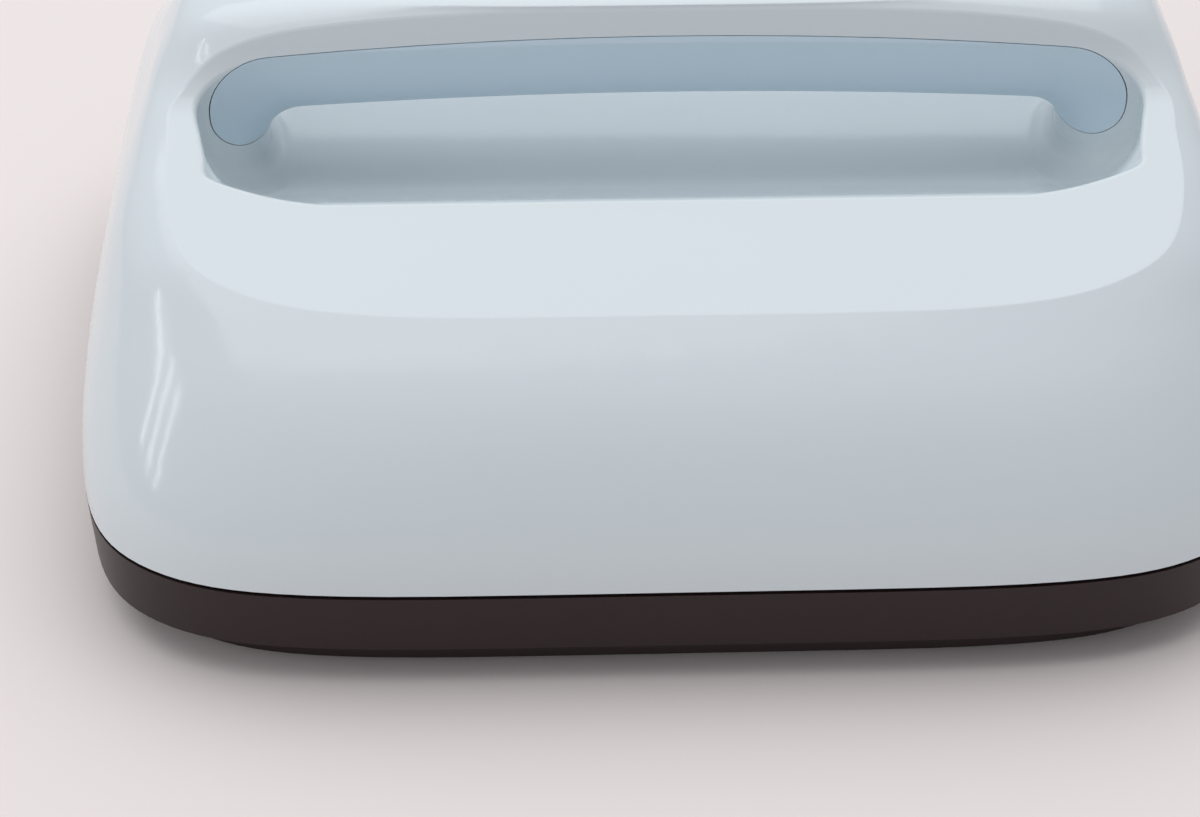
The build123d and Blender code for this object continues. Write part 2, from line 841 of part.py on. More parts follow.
# Heat shield, a steel sheet on the stand-offs' flanges.
with BuildPart() as heat_shield:
    extrude(
        bowed_outline(shield_level, plate_half_width - shield_margin, plate_half_depth - shield_margin),
        amount=shield_thickness,
    )
    extrude(
        discs(shield_level - overrun, standoff_places, standoff_diameter + 2 * fit_gap),
        amount=shield_thickness + 2 * overrun,
        mode=Mode.SUBTRACT,
    )
    extrude(
        plates(shield_level - overrun, sensor_places, sensor_window[0], sensor_window[1]),
        amount=shield_thickness + 2 * overrun,
        mode=Mode.SUBTRACT,
    )
    extrude(
        plates(shield_level - overrun, [(0, terminal_row)], terminal_slot[0], terminal_slot[1]),
        amount=shield_thickness + 2 * overrun,
        mode=Mode.SUBTRACT,
    )
save(heat_shield.part, "heat_shield")

# Thermistor block and thermal cut-out, flat on the plate inside the sensor window.
thermistor_place = (sensor_centre[0], sensor_centre[1] + thermistor_offset)
with BuildPart() as thermistor:
    extrude(
        plates(plate_thickness, [thermistor_place], thermistor_size[0], thermistor_size[1]),
        amount=thermistor_size[2],
    )
    fillet(thermistor.edges().filter_by(Axis.Z), thermistor_size[2] / 4)
save(thermistor.part, "thermistor")

cutout_place = (sensor_centre[0], sensor_centre[1] + cutout_offset)
cutout_blades = [(cutout_place[0] + x * cutout_blade_spacing / 2, cutout_place[1]) for x in (-1, 1)]
cutout_top = plate_thickness + cutout_height
with BuildPart() as thermal_cutout:
    extrude(discs(plate_thickness, [cutout_place], cutout_diameter), amount=cutout_height)
    extrude(
        plates(plate_thickness, [cutout_place], cutout_flange[0], cutout_flange[1]), amount=cutout_flange[2]
    )
    extrude(
        plates(cutout_top - cutout_flange[2], cutout_blades, cutout_blade[0], cutout_blade[1]),
        amount=cutout_blade[2] + cutout_flange[2],
    )
save(thermal_cutout.part, "thermal_cutout")

# Power board on its bosses, with its screws.
with BuildPart() as power_board:
    extrude(
        plates(power_board_level, [power_board_centre], power_board_size[0], power_board_size[1]),
        amount=power_board_size[2],
    )
    extrude(
        discs(power_board_level - overrun, power_bosses, board_bore),
        amount=power_board_size[2] + 2 * overrun,
        mode=Mode.SUBTRACT,
    )
save(power_board.part, "power_board")

save(
    screws_down(
        power_bosses,
        power_board_top,
        board_screw_head_diameter,
        board_screw_head,
        board_screw_diameter,
        power_board_size[2] + board_screw_bite,
    ),
    "power_board_screws",
)

# Transformer: a wound block with a laminated core across it.
with BuildPart() as transformer:
    extrude(
        plates(power_board_top, [transformer_place], transformer_size[0], transformer_size[1]),
        amount=transformer_size[2],
    )
    fillet(transformer.edges().filter_by(Axis.Z), transformer_size[2] / 8)
    core_floor = power_board_top + (transformer_size[2] - transformer_core[2]) / 2
    extrude(
        plates(core_floor, [transformer_place], transformer_core[0], transformer_core[1]),
        amount=transformer_core[2],
    )
save(transformer.part, "transformer")

with BuildPart() as relay:
    extrude(plates(power_board_top, [relay_place], relay_size[0], relay_size[1]), amount=relay_size[2])
    chamfer(relay.edges().group_by(Axis.Z)[-1], relay_size[2] / 16)
save(relay.part, "relay")

with BuildPart() as capacitor:
    extrude(discs(power_board_top, [capacitor_place], capacitor_diameter), amount=capacitor_height)
    fillet(capacitor.edges().sort_by(Axis.Z)[-1], capacitor_diameter / 12)
save(capacitor.part, "capacitor")

# Fuse: a glass tube in a low holder.
with BuildPart() as fuse:
    extrude(plates(power_board_top, [fuse_place], fuse_base[0], fuse_base[1]), amount=fuse_base[2])
    with BuildSketch(Plane.YZ.offset(fuse_place[0])):
        with Locations((fuse_place[1], power_board_top + fuse_base[2] + fuse_diameter / 4)):
            Circle(fuse_diameter / 2)
    extrude(amount=fuse_length / 2, both=True)
save(fuse.part, "fuse")

# Heatsink: an upright base with fins towards the front.
fin_pitch = heatsink_size[0] / (2 * heatsink_fins - 1)
with BuildPart() as heatsink:
    base_row = heatsink_place[1] + (heatsink_size[1] - heatsink_base) / 2
    extrude(
        plates(power_board_top, [(heatsink_place[0], base_row)], heatsink_size[0], heatsink_base),
        amount=heatsink_size[2],
    )
    fins = [
        (heatsink_place[0] + (2 * step - heatsink_fins + 1) * fin_pitch, heatsink_place[1])
        for step in range(heatsink_fins)
    ]
    extrude(plates(power_board_top, fins, fin_pitch, heatsink_size[1]), amount=heatsink_size[2])
save(heatsink.part, "heatsink")

# Terminal block with a wire mouth for each pole at the back.
connector_back = connector_place[1] + connector_size[1] / 2
with BuildPart() as terminal_block:
    extrude(
        plates(power_board_top, [connector_place], connector_size[0], connector_size[1]),
        amount=connector_size[2],
    )
    mouth_pitch = connector_size[0] / connector_poles
    mouths = [
        (connector_place[0] + (pole - (connector_poles - 1) / 2) * mouth_pitch, connector_back)
        for pole in range(connector_poles)
    ]
    mouth_floor = power_board_top + (connector_size[2] - connector_mouth[1]) / 4
    extrude(
        plates(mouth_floor, mouths, connector_mouth[0], connector_mouth[2]),
        amount=connector_mouth[1] / 2,
        mode=Mode.SUBTRACT,
    )
save(terminal_block.part, "terminal_block")

# Plugs at the ends of the harness and of the sensor lead.
with BuildPart() as wire_plugs:
    extrude(
        plates(power_board_top, [power_plug_place], power_plug_size[0], power_plug_size[1]),
        amount=power_plug_size[2],
    )
    extrude(
        plates(power_board_top, [sensor_plug_place], sensor_plug_size[0], sensor_plug_size[1]),
        amount=sensor_plug_size[2],
    )
    extrude(
        plates(control_board_level, [control_plug_place], control_plug_size[0], control_plug_size[1]),
        amount=-control_plug_size[2],
    )
save(wire_plugs.part, "wire_plugs")

# Harness from the power board, over the deck, up the right column and into the handle.
plug_top = power_board_top + power_plug_size[2]
plug_row = control_board_level - control_plug_size[2] / 2
plug_side = control_plug_place[0] + control_plug_size[0] / 2
harness_points = [
    (*power_plug_place, plug_top),
    (*power_plug_place, harness_level),
    (column_place, 0, harness_level),
    (column_place, 0, plug_row),
    ((column_place + grip_post_place) / 2, control_plug_place[1], plug_row),
    (plug_side, control_plug_place[1], plug_row),
]
save(wire(harness_points, harness_diameter, harness_bend), "control_harness")

# Leads from the terminal block to the element's pins.
with BuildPart() as heater_leads:
    for start, turn, pin in zip(heater_lead_starts, heater_lead_turns, terminal_places):
        lead_points = [
            (start, connector_back, heater_lead_level),
            (start, turn, heater_lead_level),
            (pin[0], turn, heater_lead_level),
            (pin[0], pin[1], heater_lead_level),
            (pin[0], pin[1], terminal_pin_top),
        ]
        add(wire(lead_points, lead_diameter, lead_bend))
save(heater_leads.part, "heater_leads")

# Lead from the thermistor up through the deck to its plug.
sensor_plug_side = sensor_plug_place[0] + sensor_plug_size[0] / 2
sensor_points = [
    (*thermistor_place, plate_thickness + thermistor_size[2]),
    (*thermistor_place, sensor_lead_level),
    (thermistor_place[0], sensor_plug_place[1], sensor_lead_level),
    (sensor_plug_side, sensor_plug_place[1], sensor_lead_level),
]
save(wire(sensor_points, lead_diameter, lead_bend), "sensor_lead")

# Leads from the cut-out's blades to the end of the terminal block.
connector_side = connector_place[0] + connector_size[0] / 2
blade_top = cutout_top + cutout_blade[2]
with BuildPart() as cutout_leads:
    for blade, level, row in zip(cutout_blades, cutout_lead_levels, cutout_lead_rows):
        cutout_points = [
            (*blade, blade_top),
            (*blade, level),
            (blade[0], row, level),
            (connector_side, row, level),
        ]
        add(wire(cutout_points, lead_diameter, lead_bend))
save(cutout_leads.part, "cutout_leads")

# Cord gland and the nut that holds it from inside.
with BuildPart() as cord_gland:
    gland_start = gland_inner - gland_nut_thickness - overrun
    extrude(back_disc(0, gland_level, gland_body_diameter, gland_start), amount=-(gland_seat - gland_start))
    extrude(back_disc(0, gland_level, gland_collar_diameter, gland_seat), amount=-gland_collar)
    fillet(cord_gland.edges().sort_by(Axis.Y)[-1], gland_collar / 2)
    extrude(
        back_disc(0, gland_level, gland_bore, gland_start - overrun),
        amount=-(gland_seat + gland_collar - gland_start + 2 * overrun),
        mode=Mode.SUBTRACT,
    )
save(cord_gland.part, "cord_gland")

with BuildPart() as gland_nut:
    with BuildSketch(Plane.XZ.offset(-gland_inner)):
        with Locations((0, gland_level)):
            RegularPolygon(gland_nut_flats / 2, 6, major_radius=False)
            Circle(gland_body_diameter / 2 + fit_gap, mode=Mode.SUBTRACT)
    extrude(amount=gland_nut_thickness)
save(gland_nut.part, "gland_nut")

small_keys = {
    "button_temperature": (-key_row, key_pitch / 2),
    "button_timer": (-key_row, -key_pitch / 2),
    "button_plus": (key_row, key_pitch / 2),
    "button_minus": (key_row, -key_pitch / 2),
}
power_place = (-end_key_row, 0)
start_place = (end_key_row, 0)
ring_inner = start_key_diameter + 2 * ring_gap
ring_outer = ring_inner + 2 * ring_wall
ring_floor = panel_floor - ring_flange_thickness

# Control panel, on the ledge round the window in the handle's top.
with BuildPart() as control_panel:
    extrude(
        soft_plate(
            panel_floor,
            (0, 0),
            panel_size[0] - 2 * panel_fit,
            panel_size[1] - 2 * panel_fit,
            panel_corner - panel_fit,
        ),
        amount=panel_thickness,
    )
    lens_seat = panel_top - lens_size[2]
    extrude(
        soft_plate(
            lens_seat,
            (0, 0),
            lens_size[0] + 2 * fit_gap,
            lens_size[1] + 2 * fit_gap,
            lens_corner + fit_gap,
        ),
        amount=lens_size[2] + overrun,
        mode=Mode.SUBTRACT,
    )
    extrude(
        plates(panel_floor - overrun, [(0, 0)], lens_size[0] - 2 * lens_ledge, lens_size[1] - 2 * lens_ledge),
        amount=panel_thickness + 2 * overrun,
        mode=Mode.SUBTRACT,
    )
    key_holes = discs(panel_floor - overrun, list(small_keys.values()), key_diameter + 2 * fit_gap)
    power_hole = discs(panel_floor - overrun, [power_place], power_key_diameter + 2 * fit_gap)
    ring_hole = discs(panel_floor - overrun, [start_place], ring_outer + 2 * fit_gap)
    for hole in (key_holes, power_hole, ring_hole):
        extrude(hole, amount=panel_thickness + 2 * overrun, mode=Mode.SUBTRACT)
save(control_panel.part, "control_panel")

with BuildPart() as display_lens:
    extrude(soft_plate(lens_seat, (0, 0), lens_size[0], lens_size[1], lens_corner), amount=lens_size[2])
save(display_lens.part, "display_lens")

# Display module, from the control board to just under the panel.
with BuildPart() as display_module:
    extrude(
        plates(control_board_top, [(0, 0)], lcd_size[0], lcd_size[1]),
        amount=panel_floor - fit_gap - control_board_top,
    )
save(display_module.part, "display_module")

# Light ring round the start key, with a flange under the panel.
with BuildPart() as light_ring:
    extrude(discs(ring_floor, [start_place], ring_outer), amount=panel_top - ring_floor)
    extrude(
        discs(ring_floor, [start_place], ring_outer + 2 * ring_flange), amount=ring_flange_thickness
    )
    extrude(
        discs(ring_floor - overrun, [start_place], ring_inner),
        amount=panel_top - ring_floor + 2 * overrun,
        mode=Mode.SUBTRACT,
    )
save(light_ring.part, "light_ring")

for name, place in small_keys.items():
    save(key(place, key_diameter, panel_floor - fit_gap), name)
save(key(power_place, power_key_diameter, panel_floor - fit_gap), "button_power")
save(key(start_place, start_key_diameter, ring_floor - fit_gap), "button_start")

# Control board, with its screws, switches, lamps and buzzer.
with BuildPart() as control_board:
    extrude(
        plates(control_board_level, [(0, 0)], control_board_size[0], control_board_size[1]),
        amount=control_board_size[2],
    )
    extrude(
        discs(control_board_level - overrun, control_bosses, control_screw_diameter + 2 * fit_gap),
        amount=control_board_size[2] + 2 * overrun,
        mode=Mode.SUBTRACT,
    )
save(control_board.part, "control_board")

save(
    screws_up(
        control_bosses,
        control_board_level,
        control_screw_head_diameter,
        control_screw_head,
        control_screw_diameter,
        control_board_size[2] + control_screw_bite,
    ),
    "control_board_screws",
)

switch_places = [*small_keys.values(), power_place, start_place]
switch_top = control_board_top + switch_size[2]
with BuildPart() as tact_switches:
    extrude(
        plates(control_board_top, switch_places, switch_size[0], switch_size[1]), amount=switch_size[2]
    )
    extrude(
        discs(switch_top - switch_well, switch_places, key_stem_diameter + 2 * fit_gap),
        amount=switch_well + overrun,
        mode=Mode.SUBTRACT,
    )
save(tact_switches.part, "tact_switches")

lamp_reach = (ring_inner + ring_outer) / 4
lamp_turns = [2 * math.pi * step / lamp_count + math.pi / lamp_count for step in range(lamp_count)]
lamp_places = shifted(
    [(lamp_reach * math.cos(turn), lamp_reach * math.sin(turn)) for turn in lamp_turns], start_place
)
with BuildPart() as ring_lamps:
    extrude(plates(control_board_top, lamp_places, lamp_size[0], lamp_size[1]), amount=lamp_size[2])
save(ring_lamps.part, "ring_lamps")

with BuildPart() as buzzer:
    extrude(discs(control_board_level, [buzzer_place], buzzer_diameter), amount=-buzzer_height)
save(buzzer.part, "buzzer")
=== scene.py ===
"""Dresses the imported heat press: finishes for every piece, keycaps, marks, display, screws and the stage."""

import math

import bpy
from mathutils import Matrix, Vector


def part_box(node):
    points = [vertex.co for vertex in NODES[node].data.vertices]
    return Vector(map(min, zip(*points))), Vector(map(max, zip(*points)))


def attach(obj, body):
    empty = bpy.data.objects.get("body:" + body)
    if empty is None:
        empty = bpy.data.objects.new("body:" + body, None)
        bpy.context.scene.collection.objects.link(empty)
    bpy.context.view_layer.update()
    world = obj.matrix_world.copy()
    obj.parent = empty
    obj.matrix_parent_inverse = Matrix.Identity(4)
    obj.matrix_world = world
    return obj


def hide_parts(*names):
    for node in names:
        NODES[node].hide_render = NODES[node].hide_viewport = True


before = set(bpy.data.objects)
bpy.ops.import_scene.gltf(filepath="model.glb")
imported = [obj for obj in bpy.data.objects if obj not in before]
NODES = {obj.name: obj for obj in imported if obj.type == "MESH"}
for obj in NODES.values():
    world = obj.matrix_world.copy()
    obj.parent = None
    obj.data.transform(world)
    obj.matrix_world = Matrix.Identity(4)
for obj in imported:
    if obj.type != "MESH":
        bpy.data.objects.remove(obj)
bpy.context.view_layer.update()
MM = 0.001
HALF_TURN = math.pi
QUARTER_TURN = math.pi / 2
TURN_SIDES = 96
SCREW_SIDES = 48
# Faces that meet at a smaller angle than this are shaded as one surface.
SMOOTH_ANGLE = math.radians(40)
CRISP_ANGLE = math.radians(35)
# Points of a drawn profile that lie nearer than this are one point.
MERGE_GAP = 0.0005 * MM
# A finish's roughness swings by this share of itself over the grain.
GLOSS_SWING = 0.12

bl_info = {
    "name": "Heat press dressing",
    "version": (1, 0, 0),
    "blender": (4, 5, 0),
    "location": "3D View > Sidebar > Press",
    "description": "Finishes, keys, display, screws and stage for a handheld heat press",
    "category": "Object",
}


def srgb(code):
    """A hex sRGB colour as linear red, green and blue."""
    channels = [int(code[i : i + 2], 16) / 255 for i in (1, 3, 5)]
    return tuple(c / 12.92 if c <= 0.04045 else ((c + 0.055) / 1.055) ** 2.4 for c in channels)


class PressColours(bpy.types.PropertyGroup):
    """Colours of the pieces that show."""

    shell: bpy.props.FloatVectorProperty(
        name="Shell", description="Powder blue of the upper shell", subtype="COLOR", default=srgb("#dae3e7")
    )
    grip: bpy.props.FloatVectorProperty(
        name="Grip", description="Blue of the handle grip", subtype="COLOR", default=srgb("#d0e2ee")
    )
    skirt: bpy.props.FloatVectorProperty(
        name="Skirt", description="Near black of the base skirt", subtype="COLOR", default=srgb("#2a1b1d")
    )
    surround: bpy.props.FloatVectorProperty(
        name="Surround",
        description="Dark brown grey of the plate surround",
        subtype="COLOR",
        default=srgb("#2f2123"),
    )
    plate: bpy.props.FloatVectorProperty(
        name="Plate", description="Charcoal of the non-stick coat", subtype="COLOR", default=srgb("#3d3d3f")
    )
    panel: bpy.props.FloatVectorProperty(
        name="Panel", description="Blue black of the control panel", subtype="COLOR", default=srgb("#20272d")
    )
    key: bpy.props.FloatVectorProperty(
        name="Keys", description="White of the small keys", subtype="COLOR", default=srgb("#e6ecef")
    )
    start: bpy.props.FloatVectorProperty(
        name="Start key", description="Powder blue of the start key", subtype="COLOR", default=srgb("#c9dde9")
    )
    mark: bpy.props.FloatVectorProperty(
        name="Marks", description="Slate of the printed marks", subtype="COLOR", default=srgb("#4c5a64")
    )
    digit: bpy.props.FloatVectorProperty(
        name="Digits", description="Ice blue of the lit bars", subtype="COLOR", default=srgb("#cfefff")
    )
    floor: bpy.props.FloatVectorProperty(
        name="Floor", description="Pale floor", subtype="COLOR", default=srgb("#efe6e4")
    )


class PressSizes(bpy.types.PropertyGroup):
    """Sizes of the small pieces that are modelled here."""

    key_edge: bpy.props.FloatProperty(
        name="Key edge", description="Rounding of a keycap's rim", unit="LENGTH", default=0.35 * MM
    )
    key_dish: bpy.props.FloatProperty(
        name="Key dish", description="Depth of the finger dish in a keycap", unit="LENGTH", default=0.3 * MM
    )
    start_dish: bpy.props.FloatProperty(
        name="Start dish",
        description="Depth of the finger dish in the start key",
        unit="LENGTH",
        default=0.5 * MM,
    )
    key_lip: bpy.props.FloatProperty(
        name="Key lip", description="Reach of the lip that holds a keycap in", unit="LENGTH", default=1.3 * MM
    )
    key_lip_thickness: bpy.props.FloatProperty(
        name="Key lip thickness", description="Thickness of that lip", unit="LENGTH", default=1.1 * MM
    )
    key_stem: bpy.props.FloatProperty(
        name="Key stem", description="Radius of the stem over the switch", unit="LENGTH", default=1.5 * MM
    )
    key_gap: bpy.props.FloatProperty(
        name="Key gap", description="Room between the lip and what holds it", unit="LENGTH", default=0.3 * MM
    )
    mark_stroke: bpy.props.FloatProperty(
        name="Mark stroke", description="Width of a printed line", unit="LENGTH", default=0.55 * MM
    )
    digit_height: bpy.props.FloatProperty(
        name="Digit height",
        description="Height of a display digit between bar middles",
        unit="LENGTH",
        default=11 * MM,
    )
    digit_bar: bpy.props.FloatProperty(
        name="Digit bar", description="Width of one display bar", unit="LENGTH", default=1.15 * MM
    )
    digit_thickness: bpy.props.FloatProperty(
        name="Digit thickness", description="Height of a bar over its module", unit="LENGTH", default=0.08 * MM
    )
    digit_pitch: bpy.props.FloatProperty(
        name="Digit pitch", description="Step from digit to digit", unit="LENGTH", default=7.8 * MM
    )
    gland_collar: bpy.props.FloatProperty(
        name="Gland collar", description="Thickness of the gland's collar", unit="LENGTH", default=3.2 * MM
    )
    gland_body: bpy.props.FloatProperty(
        name="Gland body", description="Radius of the gland in the shell", unit="LENGTH", default=7.7 * MM
    )
    gland_bore: bpy.props.FloatProperty(
        name="Gland bore", description="Radius of the hole for the cord", unit="LENGTH", default=3.75 * MM
    )
    gland_notch: bpy.props.FloatProperty(
        name="Gland notch",
        description="Depth of the grip notches in the gland's collar",
        unit="LENGTH",
        default=0.5 * MM,
    )
    gland_notch_edge: bpy.props.FloatProperty(
        name="Gland notch edge", description="Slope at the edge of a notch", unit="LENGTH", default=0.12 * MM
    )


class PressStage(bpy.types.PropertyGroup):
    """Camera and light of the stage."""

    camera_place: bpy.props.FloatVectorProperty(
        name="Camera place",
        description="Where the camera stands",
        subtype="TRANSLATION",
        default=(-0.045399, -0.754084, 0.53866),
    )
    camera_pitch: bpy.props.FloatProperty(
        name="Camera pitch",
        description="Angle that the camera looks down",
        subtype="ANGLE",
        default=math.radians(36.112),
    )
    camera_yaw: bpy.props.FloatProperty(
        name="Camera yaw",
        description="Turn of the camera to the right",
        subtype="ANGLE",
        default=math.radians(2.008),
    )
    camera_roll: bpy.props.FloatProperty(
        name="Camera roll", description="Tilt of the camera", subtype="ANGLE", default=math.radians(0.23)
    )
    camera_lens: bpy.props.FloatProperty(
        name="Camera lens", description="Focal length of the camera in mm", default=87.0
    )
    camera_sensor: bpy.props.FloatProperty(
        name="Camera sensor", description="Width of the camera's sensor in mm", default=36.0
    )
    floor_size: bpy.props.FloatProperty(
        name="Floor size", description="Side of the square floor", unit="LENGTH", default=8.0
    )
    floor_drop: bpy.props.FloatProperty(
        name="Floor drop",
        description="Gap that keeps the floor clear of the plate's face",
        unit="LENGTH",
        default=0.02 * MM,
    )
    room_light: bpy.props.FloatProperty(
        name="Room light", description="Strength of the even light of the room", default=0.5
    )
    room_tint: bpy.props.FloatVectorProperty(
        name="Room tint", description="Cool white of the room", subtype="COLOR", default=(0.94, 0.96, 1.0)
    )


def add_node(tree, kind, links=None, **settings):
    """Add a shader node; links maps its sockets to values or to other nodes' sockets."""
    node = tree.nodes.new(kind)
    for name, value in settings.items():
        setattr(node, name, value)
    for name, value in (links or {}).items():
        if isinstance(value, bpy.types.NodeSocket):
            tree.links.new(value, node.inputs[name])
        else:
            node.inputs[name].default_value = value
    return node


def surface(
    name,
    colour,
    roughness,
    grain_mm,
    depth_mm,
    shade=0.04,
    cloud_mm=60,
    stretch=(1, 1, 1),
    kind="Noise",
    **sockets,
):
    """A finish whose grain gives relief and gloss, with clouds that darken the colour by shade."""
    material = bpy.data.materials.new(name)
    material.use_nodes = True
    tree = material.node_tree
    shader = tree.nodes["Principled BSDF"]
    for socket, value in sockets.items():
        shader.inputs[socket.replace("_", " ")].default_value = value
    place = add_node(tree, "ShaderNodeTexCoord").outputs["Object"]
    place = add_node(tree, "ShaderNodeMapping", {"Vector": place, "Scale": stretch}).outputs["Vector"]
    cloud = add_node(tree, "ShaderNodeTexNoise", {"Vector": place, "Scale": 1 / (cloud_mm * MM)})
    cloud = cloud.outputs["Fac"]
    tint = add_node(tree, "ShaderNodeMix", {"Factor": cloud}, data_type="RGBA")
    tint.inputs["A"].default_value = (*[c * (1 - shade) for c in colour], 1)
    tint.inputs["B"].default_value = (*colour, 1)
    tree.links.new(tint.outputs["Result"], shader.inputs["Base Color"])
    grain = add_node(tree, f"ShaderNodeTex{kind}", {"Vector": place, "Scale": 1 / (grain_mm * MM)}).outputs[0]
    swing = roughness * GLOSS_SWING
    gloss = {"Value": grain, "To Min": roughness - swing, "To Max": roughness + swing}
    gloss = add_node(tree, "ShaderNodeMapRange", gloss).outputs["Result"]
    tree.links.new(gloss, shader.inputs["Roughness"])
    relief = add_node(tree, "ShaderNodeBump", {"Height": grain, "Strength": 1.0, "Distance": depth_mm * MM})
    tree.links.new(relief.outputs["Normal"], shader.inputs["Normal"])
    return material


def dress(material, *nodes):
    """Give CAD nodes one material."""
    for node in nodes:
        slots = NODES[node].data.materials
        slots.clear()
        slots.append(material)


def settle(piece, body, material, slot, *nodes):
    """Finish a new piece: its material, its body and the CAD nodes that it stands for. The slot is not used."""
    piece.data.materials.clear()
    piece.data.materials.append(material)
    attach(piece, body)
    if nodes:
        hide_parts(*nodes)


def only(piece):
    """Select one piece and make it active."""
    bpy.ops.object.select_all(action="DESELECT")
    piece.select_set(True)
    bpy.context.view_layer.objects.active = piece


def apply_place(piece, place=(0, 0, 0), turn=(0, 0, 0)):
    """Move and turn a piece, and put the place into its mesh."""
    only(piece)
    piece.rotation_euler = turn
    piece.location = place
    bpy.ops.object.transform_apply(location=True, rotation=True, scale=True)


def turned(name, profile, sides=TURN_SIDES):
    """Draw a disc, or a ring where the profile closes, up the Z axis through its radii and heights."""
    closed = profile[0] == profile[-1]
    bpy.ops.object.select_all(action="DESELECT")
    bpy.ops.mesh.primitive_circle_add(
        vertices=sides,
        radius=profile[0][0],
        fill_type="NOTHING" if closed else "NGON",
        location=(0, 0, profile[0][1]),
    )
    piece = bpy.context.object
    piece.name = name
    bpy.ops.object.transform_apply(location=True)
    bpy.ops.object.mode_set(mode="EDIT")
    bpy.ops.mesh.select_mode(type="VERT")
    bpy.ops.mesh.select_all(action="SELECT")
    for (radius, height), (next_radius, next_height) in zip(profile, profile[1:]):
        bpy.ops.mesh.extrude_region_move(TRANSFORM_OT_translate={"value": (0, 0, next_height - height)})
        if next_radius == 0:
            bpy.ops.mesh.merge(type="CENTER")
            break
        scale = next_radius / radius
        bpy.ops.transform.resize(value=(scale, scale, 1), center_override=(0, 0, next_height))
    bpy.ops.mesh.select_all(action="SELECT")
    bpy.ops.mesh.remove_doubles(threshold=MERGE_GAP)
    bpy.ops.mesh.normals_make_consistent(inside=False)
    bpy.ops.object.mode_set(mode="OBJECT")
    bpy.ops.object.shade_smooth_by_angle(angle=SMOOTH_ANGLE)
    return piece


def quarter(radius, top, edge, steps=5):
    """Points of a rounded rim, from its side to its top."""
    turns = [QUARTER_TURN * step / steps for step in range(steps + 1)]
    return [(radius - edge + edge * math.cos(t), top - edge + edge * math.sin(t)) for t in turns]


def copies(piece, places, turn):
    """Put copies of a piece at places, join them and put the places into the mesh."""
    made = []
    for place in places:
        only(piece)
        bpy.ops.object.duplicate()
        copy = bpy.context.object
        copy.rotation_euler = turn
        copy.location = place
        made.append(copy)
    bpy.data.objects.remove(piece)
    bpy.ops.object.select_all(action="DESELECT")
    for copy in made:
        copy.select_set(True)
    bpy.context.view_layer.objects.active = made[0]
    bpy.ops.object.transform_apply(location=True, rotation=True, scale=True)
    bpy.ops.object.join()
    return bpy.context.object


def strokes(name, lines, width, level, place):
    """Lay flat printed lines, each a closed flag and its points, on a level over a place."""
    bpy.ops.object.select_all(action="DESELECT")
    bpy.ops.curve.primitive_nurbs_path_add()
    piece = bpy.context.object
    curve = piece.data
    curve.splines.clear()
    curve.bevel_depth = width / 2
    curve.bevel_resolution = 3
    curve.use_fill_caps = True
    for closed, points in lines:
        spline = curve.splines.new("POLY")
        spline.points.add(len(points) - 1)
        for point, (x, y) in zip(spline.points, points):
            point.co = (x * MM, y * MM, 0, 1)
        spline.use_cyclic_u = closed
    bpy.ops.object.convert(target="MESH")
    piece = bpy.context.object
    piece.name = name
    piece.scale.z = PRINT_FLATNESS
    apply_place(piece, (*place, level))
    bpy.ops.object.shade_smooth_by_angle(angle=SMOOTH_ANGLE)
    return piece


def arc(x, y, radius, start, end, steps=32):
    """Points of an arc in mm, angles in degrees from the right."""
    turns = [math.radians(start + (end - start) * step / steps) for step in range(steps + 1)]
    return [(x + radius * math.cos(t), y + radius * math.sin(t)) for t in turns]


# A printed line is a round bead that is pressed nearly flat.
PRINT_FLATNESS = 0.2

# The finger dish of a keycap falls over this share of its radius, in this many steps.
DISH_SLOPE = 0.35
DISH_STEPS = 8

# Marks in mm from the middle of their key: power, thermometer, clock, minus, plus and a start triangle.
KEY_MARKS = {
    "power": [(False, arc(0, -0.3, 2.6, 130, 410)), (False, [(0, 0.4), (0, 2.9)])],
    "temperature": [(True, arc(0, 2.0, 0.75, 0, 180, 12) + arc(0, -1.7, 1.3, 125, 415, 24))],
    "timer": [(True, arc(0, 0, 2.5, 0, 354, 47)), (False, [(0, 1.6), (0, 0), (1.1, -0.7)])],
    "minus": [(False, [(-2.1, 0), (2.1, 0)])],
    "plus": [(False, [(-2.1, 0), (2.1, 0)]), (False, [(0, -2.1), (0, 2.1)])],
    "start": [(True, [(-2.3, -3.4), (3.7, 0), (-2.3, 3.4)])],
}

# Bars of a digit: middle in half widths and quarter heights, and whether it lies flat.
DIGIT_BARS = {
    "a": (0, 2, True),
    "b": (1, 1, False),
    "c": (1, -1, False),
    "d": (0, -2, True),
    "e": (-1, -1, False),
    "f": (-1, 1, False),
    "g": (0, 0, True),
}
LIT_BARS = {"0": "abcdef", "1": "bc", "3": "abcdg", "5": "acdfg"}
# Digits that are lit, each with its place in steps from the middle.
SHOWN_DIGITS = ((-2.25, "1"), (-1.25, "5"), (-0.25, "5"), (1.25, "3"), (2.25, "0"))
# Two bars stay clear of each other by this share of their width.
BAR_CLEARANCE = 1 / 8

# Lamps: name, place and aim in metres, width and height in metres, and watts.
WINDOW_AIM = (-0.1, -0.1, 0.06)
WINDOW_PANE = (0.03, 0.6)
WINDOW_POWER = 0.55
LAMPS = (
    ("ceiling_panel", (-0.1, 0.35, 1.6), (0.0, 0.0, 0.1), (2.6, 2.2), 22.0),
    ("window_pane_near", (-1.3, -0.62, 0.55), WINDOW_AIM, WINDOW_PANE, WINDOW_POWER),
    ("window_pane_middle", (-1.3, -0.46, 0.55), WINDOW_AIM, WINDOW_PANE, WINDOW_POWER),
    ("window_pane_far", (-1.3, -0.3, 0.55), WINDOW_AIM, WINDOW_PANE, WINDOW_POWER),
)

